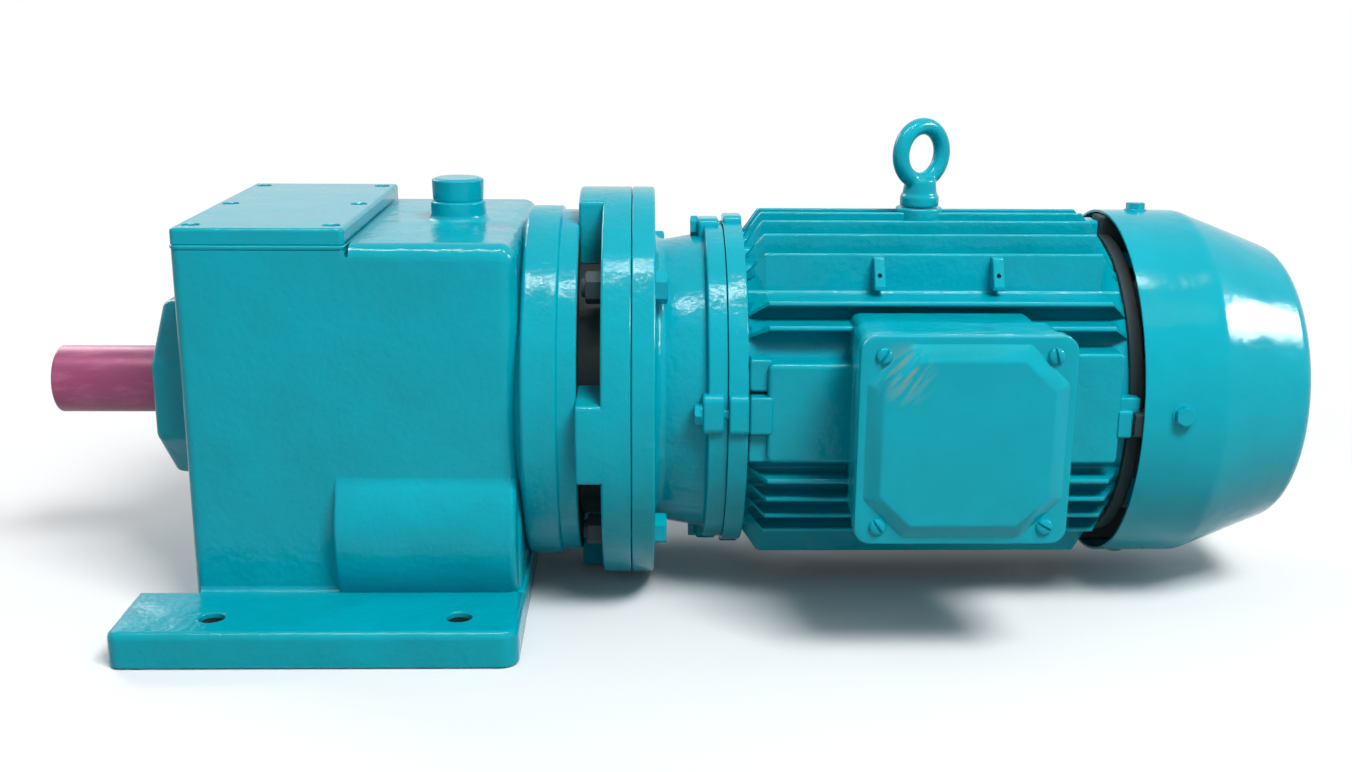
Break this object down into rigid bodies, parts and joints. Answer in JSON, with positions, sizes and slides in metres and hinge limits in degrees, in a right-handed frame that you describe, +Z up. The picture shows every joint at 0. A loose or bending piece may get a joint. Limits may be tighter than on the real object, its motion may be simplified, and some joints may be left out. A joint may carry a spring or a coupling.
{
  "type": "helical gear motor",
  "caption": "Foot-mounted helical gear motor: cast gear housing with output shaft, adapter flange, finned fan-cooled motor, terminal box and lifting eye.",
  "frame": {"origin": "on the base plane of the feet, midway between the four foot holes", "axes": "+X along the shaft line from the output shaft to the motor's fan, +Z up, terminal box towards -Y"},
  "size_m": [1.0949, 0.4756, 0.418],
  "materials": {
    "housing_enamel": "glossy teal enamel over cast iron",
    "shaft_coating": "satin maroon rust-proof coat on the shaft end",
    "gear_steel": "ground and oiled steel",
    "bearing_steel": "polished bearing steel",
    "lamination_steel": "stacked sheet steel edges",
    "winding_copper": "varnished copper wire",
    "seal_rubber": "matt black rubber",
    "gasket_paper": "pressed gasket sheet",
    "spider_polyurethane": "satin red polyurethane",
    "board_phenolic": "moulded dark brown phenolic",
    "fan_plastic": "moulded black plastic"
  },
  "bodies": {
    "housing": {"gear_housing": "housing_enamel", "inspection_cover": "housing_enamel", "cover_gasket": "gasket_paper", "breather_plug": "housing_enamel", "oil_drain_plug": "housing_enamel", "oil_level_plug": "housing_enamel", "output_oil_seal": "seal_rubber", "input_oil_seal": "seal_rubber", "output_front_bearing_outer_ring": "bearing_steel", "output_rear_bearing_outer_ring": "bearing_steel", "intermediate_front_bearing_outer_ring": "bearing_steel", "intermediate_rear_bearing_outer_ring": "bearing_steel", "input_front_bearing_outer_ring": "bearing_steel", "input_rear_bearing_outer_ring": "bearing_steel", "motor_drive_end_bearing_outer_ring": "bearing_steel", "motor_fan_end_bearing_outer_ring": "bearing_steel", "motor_adapter": "housing_enamel", "flange_bolt_1": "housing_enamel", "flange_bolt_2": "housing_enamel", "flange_bolt_3": "housing_enamel", "flange_bolt_4": "housing_enamel", "drive_end_shield": "housing_enamel", "motor_frame": "housing_enamel", "stator_core": "lamination_steel", "stator_winding": "winding_copper", "non_drive_end_shield": "housing_enamel", "fan_cowl": "housing_enamel", "eye_bolt": "housing_enamel", "terminal_box": "housing_enamel", "terminal_box_lid": "housing_enamel", "lid_gasket": "seal_rubber", "terminal_board": "board_phenolic", "front_blanking_plug": "housing_enamel", "rear_blanking_plug": "housing_enamel"},
    "rotor": {"input_pinion_shaft": "gear_steel", "input_spacer_sleeve": "gear_steel", "input_front_bearing_inner_ring": "bearing_steel", "input_rear_bearing_inner_ring": "bearing_steel", "gearbox_coupling_hub": "gear_steel", "coupling_spider": "spider_polyurethane", "motor_coupling_hub": "gear_steel", "motor_shaft": "gear_steel", "rotor_core": "lamination_steel", "motor_drive_end_bearing_inner_ring": "bearing_steel", "motor_fan_end_bearing_inner_ring": "bearing_steel", "cooling_fan": "fan_plastic"},
    "intermediate": {"intermediate_pinion_shaft": "gear_steel", "first_stage_gear": "gear_steel", "first_stage_gear_key": "gear_steel", "intermediate_spacer_sleeve": "gear_steel", "intermediate_front_bearing_inner_ring": "bearing_steel", "intermediate_rear_bearing_inner_ring": "bearing_steel"},
    "output": {"output_shaft": "shaft_coating", "shaft_key": "gear_steel", "output_gear": "gear_steel", "output_gear_key": "gear_steel", "output_spacer_sleeve": "gear_steel", "output_front_bearing_inner_ring": "bearing_steel", "output_rear_bearing_inner_ring": "bearing_steel"}
  },
  "joints": [
    {"name": "rotor_turn", "type": "hinge", "parent": "housing", "child": "rotor", "pos_m": [0, 0, 0.18], "axis": [1, 0, 0], "continuous": true},
    {"name": "intermediate_turn", "type": "hinge", "parent": "housing", "child": "intermediate", "pos_m": [0, -0.06018, 0.10014], "axis": [1, 0, 0], "continuous": true},
    {"name": "output_turn", "type": "hinge", "parent": "housing", "child": "output", "pos_m": [0, 0, 0.18], "axis": [1, 0, 0], "continuous": true}
  ],
  "couplings": [
    {"joint": "intermediate_turn", "follows": "rotor_turn", "ratio": -0.28814},
    {"joint": "output_turn", "follows": "rotor_turn", "ratio": 0.088205}
  ]
}
